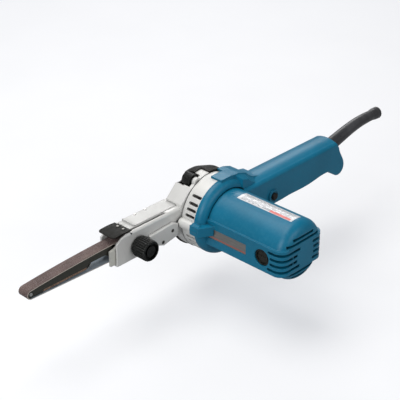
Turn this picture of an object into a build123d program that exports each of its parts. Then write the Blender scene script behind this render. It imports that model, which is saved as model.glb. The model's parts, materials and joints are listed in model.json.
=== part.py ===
"""Narrow belt sander (power file) with a side grip, in millimetres.

Drawing frame: origin on the motor axis in the belt's mid plane. The arm points to -X (front), the
grip to +X (rear), the motor barrel to -Y (near side), up is +Z. The pulley cover is on the +Y
(far) side. Each piece is saved as parts/<name>.step, measured from the barrel mount.
"""
from build123d import *
import math
import os

os.makedirs("parts", exist_ok=True)

# ---------------------------------------------------------------- shared dimensions
# Centre of the flat band on the grip side of the barrel: origin of the saved pieces
MOUNT = (32.3, -85.0, -3.2)

BELT_W = 13.0
BELT_T = 0.9
BELT_GAP = 0.05                         # between the belt and its wheels
WHEEL_R = 12.0                          # drive wheel
IDLER_R = 4.0                           # nose roller
IDLER = (-228.2, -0.5)                  # nose roller axis (x, z)
IDLER_X, IDLER_Z = IDLER
BLADE_W = 10.8                          # arm blade
SHAFT_R = 4.0                           # armature shaft
PIN_R = 1.0                             # roller and lever pins

CASE_R = 42.0                           # pulley case on the arm housing
CASE_FAR = -2.0                         # its far face, y
CASE_JOINT = -13.3                      # joint face with the gear housing, y
CASE_FLOOR = -11.3                      # inner face of its web, y
RING_R = 41.3                           # gear housing
GEAR_JOINT = -31.0                      # joint of gear and motor housing, y
COLLAR_R = 41.4                         # collar of the motor housing
BARREL_R = 32.0                         # motor barrel
BARREL_BORE_R = 28.6
BARREL_END = -139.0
BAND_X, BAND_LO, BAND_HI = 31.6, -17.6, 11.2    # flat side bands: half width, z range

ARM_X0, ARM_X1 = -128.0, -30.0          # arm housing box
ARM_NEAR, ARM_FAR = -12.4, 12.0
ARM_Z0, ARM_Z1 = -14.4, 17.2

GRIP_NEAR, GRIP_FAR = -46.0, -15.0
GRIP_MID = -31.0                        # mid plane of trigger and cord
GRIP_SPLIT = -20.0                      # joint with the grip cover
GRIP_Z0 = -8.2                          # underside at the front of the grip

# Axes along Y, as (x, z)
LEVER_PIN = (-108.8, 15.7)
TRACKING_KNOB = (-100.0, -1.0)
SWING_LOCK = (-17.0, 37.0)
COVER_POST = (23.5, -23.5)              # pulley cover screw
BRACKET_SCREWS = [(-56, -2), (-69.5, -9.8)]
HOUSING_BOSSES = [(-42.0, 1.6), (10.9, -40.6), (31.0, -28.3), (24.5, 34.2)]
TRIGGER_PIN = (71.0, -4.6)
LOCK_BUTTON = (64, 2.0)
GRIP_SCREWS = [(104, 8), (136, 8)]
# Axes along Z, as (x, y)
TOP_SCREWS = [(-83, 10.2), (-69, 10.2)]
LEVER_RIVETS = [(-112.3, -4.5), (-112.3, 3.5)]
# Axis along X, as (y, z)
BRUSH = (-113.2, -3.0)

OUTSIDE = 20                            # y of a plane beyond every far face, where cuts start


# ---------------------------------------------------------------- helpers
def at_x(x):
    """Plane across the arm: local x is Y, local y is Z, extrudes to +X."""
    return Plane.YZ.offset(x)


def at_y(y):
    """Plane across the motor axis: local x is X, local y is Z, extrudes to -Y."""
    return Plane.XZ.offset(-y)


def at_z(z):
    """Level plane: local axes are X and Y, extrudes to +Z."""
    return Plane.XY.offset(z)


def cut(depth):
    """Extrude the pending sketch and remove it from the current part."""
    extrude(amount=depth, mode=Mode.SUBTRACT)


def circles(radius, *centres, mode=Mode.ADD):
    """Equal circles in the current sketch."""
    with Locations(*centres):
        Circle(radius, mode=mode)


def on_circle(radius, degrees):
    """Point on a circle round the origin."""
    angle = math.radians(degrees)
    return (radius * math.cos(angle), radius * math.sin(angle))


def save(builder, name):
    moved = builder.part.moved(Location(tuple(-offset for offset in MOUNT)))
    moved.label = name
    export_step(moved, f"parts/{name}.step")


def save_turned_pins(name, plane_at, centres, *steps):
    """Pins, rivets or screws built from discs.

    A step is (start, radius, length) and then the (width, height) of any slots across it.
    """
    with BuildPart() as pins:
        for start, radius, length, *slots in steps:
            with BuildSketch(plane_at(start)):
                with Locations(*centres):
                    Circle(radius)
                    for slot in slots:
                        Rectangle(*slot, mode=Mode.SUBTRACT)
            extrude(amount=length)
    save(pins, name)


def save_springs(name, wire_r, radius, pitch, height, *ends):
    """Coil springs; ends lists (start centre, direction)."""
    with BuildPart() as springs:
        for centre, direction in ends:
            with BuildLine():
                coil = Helix(pitch=pitch, height=height, radius=radius,
                             center=centre, direction=direction)
            with BuildSketch(Plane(origin=coil @ 0, z_dir=coil % 0)):
                Circle(wire_r)
            sweep(path=coil, is_frenet=True)
    save(springs, name)


def save_bearing(name, radii, y_far, y_near):
    """Ball bearing with a groove in each face; radii are bore, groove inner, groove outer, rim."""
    bore, inner, outer, rim = radii
    groove = 0.4
    with BuildPart() as bearing:
        with BuildSketch(Plane.XY):
            with BuildLine():
                Polyline((bore, y_far), (inner, y_far), (inner, y_far - groove),
                         (outer, y_far - groove), (outer, y_far), (rim, y_far),
                         (rim, y_near), (outer, y_near), (outer, y_near + groove),
                         (inner, y_near + groove), (inner, y_near), (bore, y_near), close=True)
            make_face()
        revolve(axis=Axis.Y)
    save(bearing, name)


# ---------------------------------------------------------------- belt path
# Closed path round the nose roller and the drive wheel, every joint exactly tangent.
# The upper run is a long arc over the crowned arm blade, then straight.
WHEEL_WRAP_R = WHEEL_R + BELT_GAP + BELT_T      # outer face of the belt on the wheel
NOSE_WRAP_R = IDLER_R + BELT_GAP + BELT_T       # and on the nose roller
NOSE_SLOPE = math.radians(5.1)                  # slope of the belt where it leaves the roller
CROWN_END_X = -137.0
NOSE_SIN, NOSE_COS = math.sin(NOSE_SLOPE), math.cos(NOSE_SLOPE)


def solve_wheel_slope():
    """Slope of the straight upper run that is tangent to the crown arc and to the wheel."""
    start_x = IDLER_X - NOSE_WRAP_R * NOSE_SIN
    start_z = IDLER_Z + NOSE_WRAP_R * NOSE_COS
    low, high = -0.05, NOSE_SLOPE
    for _ in range(80):
        slope = 0.5 * (low + high)
        arc_z = start_z + math.tan((NOSE_SLOPE + slope) / 2) * (CROWN_END_X - start_x)
        line_z = WHEEL_WRAP_R / math.cos(slope) + CROWN_END_X * math.tan(slope)
        if arc_z < line_z:
            low = slope
        else:
            high = slope
    return 0.5 * (low + high)


WHEEL_SLOPE = solve_wheel_slope()
CROWN_R = ((CROWN_END_X - IDLER_X + NOSE_WRAP_R * NOSE_SIN)
           / (NOSE_SIN - math.sin(WHEEL_SLOPE)))
CROWN_CENTRE = (IDLER_X + (CROWN_R - NOSE_WRAP_R) * NOSE_SIN,
                IDLER_Z - (CROWN_R - NOSE_WRAP_R) * NOSE_COS)
# Direction from each wheel centre to the tangent point of the lower run
LOWER_ANGLE = (math.atan2(IDLER_Z, IDLER_X)
               + math.acos((WHEEL_WRAP_R - NOSE_WRAP_R) / math.hypot(IDLER_X, IDLER_Z)))


def point_at_slope(centre, radius, slope):
    """Point on top of an arc where its tangent has the given slope."""
    return (centre[0] - radius * math.sin(slope), centre[1] + radius * math.cos(slope))


def belt_path(inset):
    """Edges of the belt path, inset mm inside the belt's outer face."""
    nose_r, wheel_r, crown_r = NOSE_WRAP_R - inset, WHEEL_WRAP_R - inset, CROWN_R - inset
    low_x, low_z = math.cos(LOWER_ANGLE), math.sin(LOWER_ANGLE)
    nose_top = point_at_slope(IDLER, nose_r, NOSE_SLOPE)
    crown_mid = point_at_slope(CROWN_CENTRE, crown_r, (NOSE_SLOPE + WHEEL_SLOPE) / 2)
    crown_end = point_at_slope(CROWN_CENTRE, crown_r, WHEEL_SLOPE)
    wheel_top = point_at_slope((0, 0), wheel_r, WHEEL_SLOPE)
    wheel_low = (wheel_r * low_x, wheel_r * low_z)
    nose_low = (IDLER_X + nose_r * low_x, IDLER_Z + nose_r * low_z)
    ThreePointArc(nose_top, crown_mid, crown_end)
    Line(crown_end, wheel_top)
    ThreePointArc(wheel_top, (wheel_r, 0), wheel_low)
    Line(wheel_low, nose_low)
    ThreePointArc(nose_low, (IDLER_X - nose_r, IDLER_Z), nose_top)


with BuildPart() as abrasive_belt:
    with BuildSketch(at_y(BELT_W / 2)):
        with BuildLine():
            belt_path(0)
        make_face()
        with BuildLine():
            belt_path(BELT_T)
        make_face(mode=Mode.SUBTRACT)
    extrude(amount=BELT_W)
save(abrasive_belt, "abrasive_belt")

# ---------------------------------------------------------------- arm blade and nose
BLADE_INSET = BELT_T + 0.35             # top of the blade below the belt's outer face
FORK_W = 9.0                            # slot for the nose roller

with BuildPart() as arm_blade:
    with BuildSketch(at_y(BLADE_W / 2)):
        with BuildLine():
            belt_path(BLADE_INSET)
        make_face()
        with BuildLine():
            Polyline((-240, -8), (-214.5, -8), (-214.5, -2.2), (-160, -2.2), (-157, 0.8),
                     (-129, 0.8), (-129, 20), (-240, 20), close=True)
        make_face(mode=Mode.INTERSECT)
    extrude(amount=BLADE_W)
    # tang that slides in the holder, with a tail for the spring and the release link
    with BuildSketch(at_y(BLADE_W / 2)):
        with BuildLine():
            Polyline((-138, 0.9), (-129, -3.9), (-129, -4.0), (-66, -4.0), (-66, 4.0),
                     (-127, 4.0), (-129, 8.4), (-138, 8.4), close=True)
        make_face()
    extrude(amount=BLADE_W)
    # fork for the nose roller
    with BuildSketch(at_y(FORK_W / 2)):
        with Locations((-232, 0)):
            Rectangle(18.2, 20)
    cut(FORK_W)
    # pin hole
    with BuildSketch(at_y(10)):
        circles(PIN_R, IDLER)
    cut(20)
save(arm_blade, "arm_blade")

ROLLER_W = 8.8
with BuildPart() as idler_roller:
    with BuildSketch(at_y(ROLLER_W / 2)):
        with Locations(IDLER):
            Circle(IDLER_R)
            Circle(PIN_R + 0.05, mode=Mode.SUBTRACT)
    extrude(amount=ROLLER_W)
    chamfer(idler_roller.edges().filter_by(GeomType.CIRCLE).group_by(SortBy.RADIUS)[-1], 0.3)
save(idler_roller, "idler_roller")

PIN_HEAD_R, PIN_HEAD_T = 1.7, 0.7
with BuildPart() as idler_pin:
    with BuildSketch(at_y(BLADE_W / 2)):
        circles(PIN_R, IDLER)
    extrude(amount=BLADE_W)
    for head_y in (BLADE_W / 2 + PIN_HEAD_T, -BLADE_W / 2):
        with BuildSketch(at_y(head_y)):
            circles(PIN_HEAD_R, IDLER)
        extrude(amount=PIN_HEAD_T)
    fillet(idler_pin.edges().filter_by(GeomType.CIRCLE).group_by(Axis.Y)[0], 0.4)
save(idler_pin, "idler_pin")

PAD_W, PAD_L, PAD_T = 10.6, 52, 2.0
with BuildPart() as shoe_pad:
    with BuildSketch(at_y(PAD_W / 2)):
        with Locations((-187.5, -3.2)):
            Rectangle(PAD_L, PAD_T)
    extrude(amount=PAD_W)
save(shoe_pad, "shoe_pad")

# Steel strip under the pad, curled up at its rear end
STRIP_W = 10.0
STRIP_X0, STRIP_X1 = -214, -161         # straight part
STRIP_Z0, STRIP_Z1 = -4.6, -4.2
CURL_TOP, CURL_TIP = (-155.4, -0.2), (-155.0, -0.35)

with BuildPart() as shoe_strip:
    with BuildSketch(at_y(STRIP_W / 2)):
        with BuildLine():
            Line((STRIP_X0, STRIP_Z1), (STRIP_X1, STRIP_Z1))
            RadiusArc((STRIP_X1, STRIP_Z1), CURL_TOP, -7)
            Line(CURL_TOP, CURL_TIP)
            RadiusArc(CURL_TIP, (STRIP_X1, STRIP_Z0), 7.4)
            Line((STRIP_X1, STRIP_Z0), (STRIP_X0, STRIP_Z0))
            Line((STRIP_X0, STRIP_Z0), (STRIP_X0, STRIP_Z1))
        make_face()
    extrude(amount=STRIP_W)
save(shoe_strip, "shoe_strip")

# Release link: flat bar beside the belt, hooked on the tail of the blade
with BuildPart() as release_link:
    with BuildSketch(at_y(-7.3)):
        with BuildLine():
            Polyline((-108.2, 12.0), (-108.2, 14.0), (-64.2, 14.0), (-64.2, -3.6),
                     (-67.8, -3.6), (-67.8, 12.0), close=True)
        make_face()
    extrude(amount=1.8)
    with BuildSketch(at_y(-BLADE_W / 2)):
        with Locations((-68.2, -2.2)):
            Rectangle(2.8, 2.8)
    extrude(amount=3.7)
save(release_link, "release_link")

# ---------------------------------------------------------------- arm holder
CHEEK_X0 = -134.5                       # front face of the near cheek
TANG_CHANNEL_W, TANG_CHANNEL_H = 10.9, 8.1

with BuildPart() as arm_holder:
    with BuildSketch(at_y(9.3)):
        with BuildLine():
            Polyline((-121.4, -6.4), (-94, -6.4), (-94, 7.2), (-121.4, 7.2), close=True)
        make_face()
    extrude(amount=18.9)
    # near cheek seen in the open front
    with BuildSketch(at_y(-7.2)):
        with BuildLine():
            Polyline((CHEEK_X0, -12.2), (-119, -12.2), (-119, 9), (-123, 9), (-128.6, 5.5),
                     (CHEEK_X0, 4.4), close=True)
        make_face()
    extrude(amount=2.4)
    # channel for the tang
    with BuildSketch(at_y(TANG_CHANNEL_W / 2)):
        with Locations((-110, 0)):
            Rectangle(40, TANG_CHANNEL_H)
    cut(TANG_CHANNEL_W)
    # rear bracket that carries the spring
    with BuildSketch(at_y(5.0)):
        with BuildLine():
            Polyline((-94, -6.4), (-50, -6.4), (-50, 4), (-52, 4), (-52, -4.6), (-94, -4.6),
                     close=True)
        make_face()
    extrude(amount=10.0)
    # small screw recess on the cheek
    with BuildSketch(at_x(CHEEK_X0)):
        circles(0.7, (-8.4, -3.2))
    cut(2)
    # clearance for the release link
    with BuildSketch(at_y(-7.1)):
        with Locations((-100, 9)):
            Rectangle(30, 5)
    cut(3)
save(arm_holder, "arm_holder")

save_springs("tension_spring", 0.35, 2.6, 2.2, 13.1, ((-65.6, 0, 0), (1, 0, 0)))

# ---------------------------------------------------------------- arm housing with pulley case
CHANNEL_FAR, CHANNEL_W = 9.8, 20.0      # arm channel across Y
SEAT_Z = 15.9                           # seat of the top cover
POST_R, POST_HOLE_R = 3.1, 2.1
LOCK_POCKET_R, LOCK_FLOOR = 8.8, -9.5
LOCK_LUG_FAR = -9.4
BRACKET_SCREW_R = 2.0
TOP_SCREW_R = 1.0
RIM_TRIMS = [(39.9, 40), (39.4, OUTSIDE - CASE_FLOOR)]     # (radius left, depth)

with BuildPart() as arm_housing:
    with BuildSketch(at_y(ARM_FAR)):
        with Locations(((ARM_X0 + ARM_X1) / 2, (ARM_Z0 + ARM_Z1) / 2)):
            Rectangle(ARM_X1 - ARM_X0, ARM_Z1 - ARM_Z0)
    extrude(amount=ARM_FAR - ARM_NEAR)
    fillet(arm_housing.edges().filter_by(Axis.X).group_by(Axis.Z)[-1].group_by(Axis.Y)[0], 3.2)
    fillet(arm_housing.edges().filter_by(Axis.X).group_by(Axis.Z)[0], 1.2)
    # pulley case with the sloping flat at its upper front
    with BuildSketch(at_y(CASE_FAR)):
        Circle(CASE_R)
    extrude(amount=CASE_FAR - CASE_JOINT)
    with BuildSketch(at_y(8.0)):
        with BuildLine():
            Polyline((-42, 12), (-41, 20), (-27, 33.4), (-20, 30), (-20, 12), close=True)
        make_face()
    extrude(amount=8.0 - CASE_JOINT)
    # inside of the case and of the arm channel
    with BuildSketch(at_y(OUTSIDE)):
        Circle(39.6)
    cut(OUTSIDE - CASE_FLOOR)
    with BuildSketch(at_y(CHANNEL_FAR)):
        with Locations((-80, 1.05)):
            Rectangle(110, 27.7)
    cut(CHANNEL_W)
    # bore on the gear housing's register
    with BuildSketch(at_y(0)):
        Circle(30.05)
    cut(20)
    # trim the rim on the rear half, where the cover's ribbed drum takes over
    for rim_r, depth in RIM_TRIMS:
        with BuildSketch(at_y(OUTSIDE)):
            Circle(60)
            Circle(rim_r, mode=Mode.SUBTRACT)
            with Locations((35, 0)):
                Rectangle(70, 130, mode=Mode.INTERSECT)
        cut(depth)
    # post for the cover screw
    with BuildSketch(at_y(8.0)):
        circles(POST_R, COVER_POST)
    extrude(amount=20.4)
    with BuildSketch(at_y(OUTSIDE)):
        circles(POST_HOLE_R, COVER_POST)
    cut(18)
    # pocket and lug for the swing lock knob
    with BuildSketch(at_y(CASE_FAR)):
        circles(10.5, SWING_LOCK)
        Circle(CASE_R, mode=Mode.INTERSECT)
    extrude(amount=CASE_FAR - CASE_JOINT)
    with BuildSketch(at_y(OUTSIDE)):
        circles(LOCK_POCKET_R, SWING_LOCK)
    cut(OUTSIDE - LOCK_FLOOR)
    with BuildSketch(at_y(LOCK_LUG_FAR)):
        circles(4.6, SWING_LOCK)
    extrude(amount=LOCK_LUG_FAR - CASE_JOINT)
    with BuildSketch(at_y(0)):
        circles(2.5, SWING_LOCK)
    cut(20)
    # open top at the mouth, under the release lever
    with BuildSketch(at_y(CHANNEL_FAR)):
        with Locations((-117.25, 16)):
            Rectangle(23.5, 5)
    cut(CHANNEL_W)
    with BuildSketch(at_y(OUTSIDE)):
        with BuildLine():
            Polyline((-130, 10.4), (-128, 10.4), (-121, 15.2), (-114, 17.3), (-114, 19),
                     (-130, 19), close=True)
        make_face()
    cut(40)
    # slot for the release link along the near shoulder
    with BuildSketch(at_z(13)):
        with Locations((-86.5, -8.1)):
            Rectangle(53, 3.0)
        circles(1.5, (-60, -8.1))
    cut(6)
    # seat of the top cover and of the stepped front plate
    with BuildSketch(at_z(SEAT_Z)):
        with Locations((-73.25, 3.0)):
            Rectangle(64.5, 18.2)
    cut(3)
    # pin and screw holes
    with BuildSketch(at_y(15)):
        circles(PIN_R, LEVER_PIN)
    cut(30)
    with BuildSketch(at_y(-9)):
        circles(2.55, TRACKING_KNOB)
        circles(BRACKET_SCREW_R, *BRACKET_SCREWS)
    cut(10)
    # bosses on the far wall for the cover screws
    with BuildSketch(at_z(8.4)):
        with Locations((-83, 9.4), (-69, 9.4)):
            Rectangle(5.2, 2.2)
    extrude(amount=SEAT_Z - 8.4)
    with BuildSketch(at_z(9)):
        circles(TOP_SCREW_R, *TOP_SCREWS)
    cut(10)
save(arm_housing, "arm_housing")

TOP_T, TOP_W, TOP_MID_Y = 1.9, 17.8, 2.9
with BuildPart() as top_cover:
    with BuildSketch(at_z(SEAT_Z)):
        with Locations((-70.1, TOP_MID_Y)):
            Rectangle(57.8, TOP_W)
    extrude(amount=TOP_T)
    # low rib along the front edge
    with BuildSketch(at_z(SEAT_Z + TOP_T)):
        with Locations((-98.2, TOP_MID_Y)):
            Rectangle(1.6, TOP_W)
    extrude(amount=0.9)
    with BuildSketch(at_z(9)):
        circles(TOP_SCREW_R, *TOP_SCREWS)
    cut(10)
save(top_cover, "top_cover")

with BuildPart() as front_step_plate:
    with BuildSketch(at_z(SEAT_Z)):
        with Locations((-102.3, TOP_MID_Y)):
            Rectangle(6.2, TOP_W)
    extrude(amount=1.0)
save(front_step_plate, "front_step_plate")

save_turned_pins("cover_screws", at_z, TOP_SCREWS,
                 (10, TOP_SCREW_R, 7.8), (SEAT_Z + TOP_T, 1.5, 0.5))

with BuildPart() as side_bracket:
    with BuildSketch(at_y(ARM_NEAR)):
        with BuildLine():
            Polyline((-87, 4.2), (-54, 6.2), (-47.5, 3), (-48, -10.5), (-68, -14.3),
                     (-76, -11), (-87, 0.5), close=True)
        make_face()
    extrude(amount=3.6)
    fillet(side_bracket.edges().filter_by(Axis.Y), 1.2)
    chamfer(side_bracket.edges().group_by(Axis.Y)[0], 0.6)
    with BuildSketch(at_y(ARM_NEAR)):
        circles(BRACKET_SCREW_R, *BRACKET_SCREWS)
    cut(4)
save(side_bracket, "side_bracket")

# Plain shanks with a crossed recess in the end
save_turned_pins("bracket_screws", at_y, BRACKET_SCREWS,
                 (-10.4, BRACKET_SCREW_R, 5.0),
                 (-15.4, BRACKET_SCREW_R, 0.5, (3.0, 0.7), (0.7, 3.0)))

# ---------------------------------------------------------------- release lever
LEVER_X0, LEVER_X1 = -131, -108.6       # thumb plate
EAR_T = 1.6
RIVET_R = 0.9

with BuildPart() as release_lever:
    # gently crowned thumb plate
    with BuildSketch(at_y(11.8)):
        with BuildLine():
            ThreePointArc((LEVER_X0, 18.3), (-120, 19.1), (LEVER_X1, 18.5))
            Line((LEVER_X1, 18.5), (LEVER_X1, 17.8))
            ThreePointArc((LEVER_X1, 17.8), (-120, 18.0), (LEVER_X0, 17.7))
            Line((LEVER_X0, 17.7), (LEVER_X0, 18.3))
        make_face()
    extrude(amount=22.8)
    # the two short upright edges at the front corners
    fillet(release_lever.edges().filter_by(
        lambda edge: abs(edge.center().X - LEVER_X0) < 0.3 and edge.length < 1.5), 3.5)
    # two ears round the lever pin, outside the belt
    for ear_y in (9.0, -7.4):
        with BuildSketch(at_y(ear_y)):
            with BuildLine():
                Polyline((-111.2, 17.9), (-107.2, 17.9), (-107.2, 14.3), (-111.2, 14.3),
                         close=True)
            make_face()
        extrude(amount=EAR_T)
    with BuildSketch(at_y(15)):
        circles(PIN_R + 0.03, LEVER_PIN)
    cut(30)
    with BuildSketch(at_z(17)):
        circles(RIVET_R, *LEVER_RIVETS)
    cut(3)
save(release_lever, "release_lever")

save_turned_pins("lever_rivets", at_z, LEVER_RIVETS, (17.6, RIVET_R, 1.6), (19.1, 1.3, 0.5))
save_turned_pins("lever_pin", at_y, [LEVER_PIN], (ARM_FAR, PIN_R, ARM_FAR - ARM_NEAR))

# ---------------------------------------------------------------- tracking knob
KNOB_R, KNOB_FAR, KNOB_L = 11.0, -15.5, 15.5
KNOB_NECK_R, KNOB_NECK_L = 8.2, 1.9
TRACKING_SCREW_R = 2.5

with BuildPart() as tracking_knob:
    with BuildSketch(at_y(KNOB_FAR + KNOB_NECK_L)):
        circles(KNOB_NECK_R, TRACKING_KNOB)
    extrude(amount=KNOB_NECK_L)
    with BuildSketch(at_y(KNOB_FAR)):
        circles(KNOB_R, TRACKING_KNOB)
    extrude(amount=KNOB_L)
    # knurled grooves round the rim
    with BuildSketch(at_y(-17)):
        with Locations(TRACKING_KNOB):
            with PolarLocations(KNOB_R + 0.15, 40):
                Circle(0.55)
    cut(12.5)
    # near face: recess with a raised ring round a shallow dish
    with BuildSketch(at_y(-27.4)):
        with Locations(TRACKING_KNOB):
            Circle(8.8)
            Circle(5.6, mode=Mode.SUBTRACT)
    cut(3.7)
    with BuildSketch(at_y(-30.0)):
        circles(4.4, TRACKING_KNOB)
    cut(1.1)
    with BuildSketch(at_y(-10)):
        circles(TRACKING_SCREW_R, TRACKING_KNOB)
    cut(16)
save(tracking_knob, "tracking_knob")

save_turned_pins("tracking_screw", at_y, [TRACKING_KNOB], (-9.75, TRACKING_SCREW_R, 16.2))

# ---------------------------------------------------------------- swing lock knob
LOCK_SCREW_R, LOCK_SCREW_FAR = 2.4, -3.0

with BuildPart() as swing_lock_knob:
    with BuildSketch(at_y(2.6)):
        circles(7.0, SWING_LOCK)
    extrude(amount=10.4)
    # knurled grooves
    with BuildSketch(at_y(1.6)):
        with Locations(SWING_LOCK):
            with PolarLocations(7.1, 26):
                Circle(0.42)
    cut(8.6)
    # recess in the far face, then the screw hole
    with BuildSketch(at_y(5)):
        circles(4.2, SWING_LOCK)
    cut(3.2)
    with BuildSketch(at_y(LOCK_SCREW_FAR)):
        circles(LOCK_SCREW_R, SWING_LOCK)
    cut(8)
save(swing_lock_knob, "swing_lock_knob")

save_turned_pins("swing_lock_screw", at_y, [SWING_LOCK],
                 (LOCK_SCREW_FAR, LOCK_SCREW_R, 10.25), (-7.9, 3.8, 1.3))

# ---------------------------------------------------------------- pulley cover
DRUM_R = 43.4
COVER_FAR = 13.5                        # outer face, y
# Section of the domed shell, narrower at its outer face: (radius, y)
SHELL_SECTION = [(0, COVER_FAR), (37.2, COVER_FAR), (38.6, 12.2), (DRUM_R, -0.2),
                 (DRUM_R, -1.9), (40.4, -1.9), (35.6, 11.3), (0, 11.3)]

with BuildPart() as pulley_cover:
    with BuildSketch(Plane.XY):
        with BuildLine():
            Polyline(*SHELL_SECTION, close=True)
        make_face()
    revolve(axis=Axis.Y)
    # drum rim beside the case
    with BuildSketch(at_y(-1.0)):
        Circle(DRUM_R)
        Circle(40.2, mode=Mode.SUBTRACT)
        with Locations((35.2, 0)):
            Rectangle(70, 130, mode=Mode.INTERSECT)
    extrude(amount=12.2)
    with BuildSketch(at_y(15)):
        with PolarLocations(DRUM_R + 0.2, 150):
            Circle(0.45)
    cut(30)
    # window for the arm channel and the sloping flat of the case
    with BuildSketch(at_y(OUTSIDE)):
        with BuildLine():
            Polyline((-60, -14.9), (-30, -14.9), (-30, 12), (-19.6, 12), (-19.6, 50),
                     (-60, 50), close=True)
        make_face()
    cut(30)
    # room for the swing lock knob
    with BuildSketch(at_y(OUTSIDE)):
        circles(LOCK_POCKET_R, SWING_LOCK)
    cut(30)
    # shallow round boss with a central hole on the outer face, then the screw hole
    with BuildSketch(at_y(COVER_FAR + 2)):
        Circle(20)
        Circle(2.2, mode=Mode.SUBTRACT)
    extrude(amount=2)
    with BuildSketch(at_y(COVER_FAR + 2)):
        circles(POST_HOLE_R, COVER_POST)
    cut(10)
save(pulley_cover, "pulley_cover")

save_turned_pins("pulley_cover_screw", at_y, [COVER_POST],
                 (COVER_FAR, POST_HOLE_R, 11), (COVER_FAR + 1.4, 3.8, 1.4, (5.4, 1.0)))

# ---------------------------------------------------------------- gear housing
BOSS_R = 5.4
HOUSING_SCREW_R = 2.0
BEARING_SEAT_R, BEARING_SEAT_OUTER = 11, 16
GEAR_BORE_R = 38
EXHAUST_ANGLES = [135.0, 146.5, 155.5, 164.5, 199.0, 208.0, 217.0, 226.0]
# Section: (radius, y)
GEAR_SECTION = [
    (5.5, -9), (15, -9), (15, -13.35), (27, -13.35), (27, -10.4), (30, -10.4), (30, -13.35),
    (RING_R - 0.6, -13.35), (RING_R, -13.95), (RING_R, GEAR_JOINT), (GEAR_BORE_R, GEAR_JOINT),
    (GEAR_BORE_R, -17.3), (BEARING_SEAT_OUTER, -17.3), (BEARING_SEAT_OUTER, -19),
    (BEARING_SEAT_R, -19), (BEARING_SEAT_R, -11.5), (5.5, -11.5)]

with BuildPart() as gear_housing:
    with BuildSketch(Plane.XY):
        with BuildLine():
            Polyline(*GEAR_SECTION, close=True)
        make_face()
    revolve(axis=Axis.Y)
    with BuildSketch(at_y(-14.2)):
        circles(BOSS_R, *HOUSING_BOSSES)
    extrude(amount=16.8)
    # clear the bosses from the bore, then restore the bearing seat
    with BuildSketch(at_y(-17.35)):
        Circle(GEAR_BORE_R)
    cut(14)
    with BuildSketch(Plane.XY):
        with BuildLine():
            Polyline((BEARING_SEAT_R, -19), (BEARING_SEAT_OUTER, -19),
                     (BEARING_SEAT_OUTER, -17), (BEARING_SEAT_R, -17), close=True)
        make_face()
    revolve(axis=Axis.Y)
    # screw holes with counterbores: (radius, depth)
    for hole_r, depth in ((HOUSING_SCREW_R, 25), (3.8, 7.5)):
        with BuildSketch(at_y(-10)):
            circles(hole_r, *HOUSING_BOSSES)
        cut(depth)
    # exhaust slots over the fan, above and below the front boss
    for angle in EXHAUST_ANGLES:
        slot_x, slot_z = on_circle(RING_R, angle)
        out_x, out_z = on_circle(1, angle)
        with BuildSketch(Plane(origin=(slot_x, -24.2, slot_z), x_dir=(0, 1, 0),
                               z_dir=(out_x, 0, out_z))):
            SlotOverall(12.6, 3.1)
        extrude(amount=4, both=True, mode=Mode.SUBTRACT)
save(gear_housing, "gear_housing")

save_turned_pins("housing_screws", at_y, HOUSING_BOSSES,
                 (-15.0, 3.7, 2.5, (5.2, 0.9)), (-17.5, HOUSING_SCREW_R, 20.5))

REAR_SEAT_R, REAR_BEARING_FAR = 9.5, -122
REAR_JOURNAL_R = 3.5
save_bearing("front_bearing", (SHAFT_R + 0.03, 5.4, 9.4, BEARING_SEAT_R), -11.6, -18.6)
save_bearing("rear_bearing", (REAR_JOURNAL_R + 0.03, 4.8, 8.2, REAR_SEAT_R),
             REAR_BEARING_FAR, -128)

# ---------------------------------------------------------------- armature
WHEEL_W = 14.2
NUT_THREAD_R = 3.0
CORE_FAR, CORE_L = -55, 40
SLOT_COUNT, SLOT_PITCH_R = 12, 15.2     # winding slots

with BuildPart() as armature_shaft:
    with BuildSketch(Plane.XY):
        with BuildLine():
            Polyline((0, 10.9), (2.6, 10.9), (NUT_THREAD_R, 10.5), (NUT_THREAD_R, WHEEL_W / 2),
                     (SHAFT_R, WHEEL_W / 2), (SHAFT_R, -121.5), (REAR_JOURNAL_R, -121.5),
                     (REAR_JOURNAL_R, -129), (0, -129), close=True)
        make_face()
    revolve(axis=Axis.Y)
save(armature_shaft, "armature_shaft")

with BuildPart() as drive_wheel:
    with BuildSketch(at_y(WHEEL_W / 2)):
        Circle(WHEEL_R)
        Circle(SHAFT_R, mode=Mode.SUBTRACT)
        with PolarLocations(8.0, 6):
            Circle(1.6, mode=Mode.SUBTRACT)
    extrude(amount=WHEEL_W)
    chamfer(drive_wheel.edges().filter_by(GeomType.CIRCLE).group_by(SortBy.RADIUS)[-1], 0.4)
save(drive_wheel, "drive_wheel")

NUT_T = 3.3
with BuildPart() as wheel_nut:
    with BuildSketch(at_y(WHEEL_W / 2 + NUT_T)):
        RegularPolygon(4.8, 6)
        Circle(NUT_THREAD_R, mode=Mode.SUBTRACT)
    extrude(amount=NUT_T)
save(wheel_nut, "wheel_nut")

with BuildPart() as armature_core:
    with BuildSketch(at_y(CORE_FAR)):
        Circle(19)
        Circle(SHAFT_R, mode=Mode.SUBTRACT)
        with PolarLocations(SLOT_PITCH_R, SLOT_COUNT):
            Circle(2.3, mode=Mode.SUBTRACT)
        with PolarLocations(18.4, SLOT_COUNT):
            Rectangle(2.4, 1.2, mode=Mode.SUBTRACT)
    extrude(amount=CORE_L)
save(armature_core, "armature_core")

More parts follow.
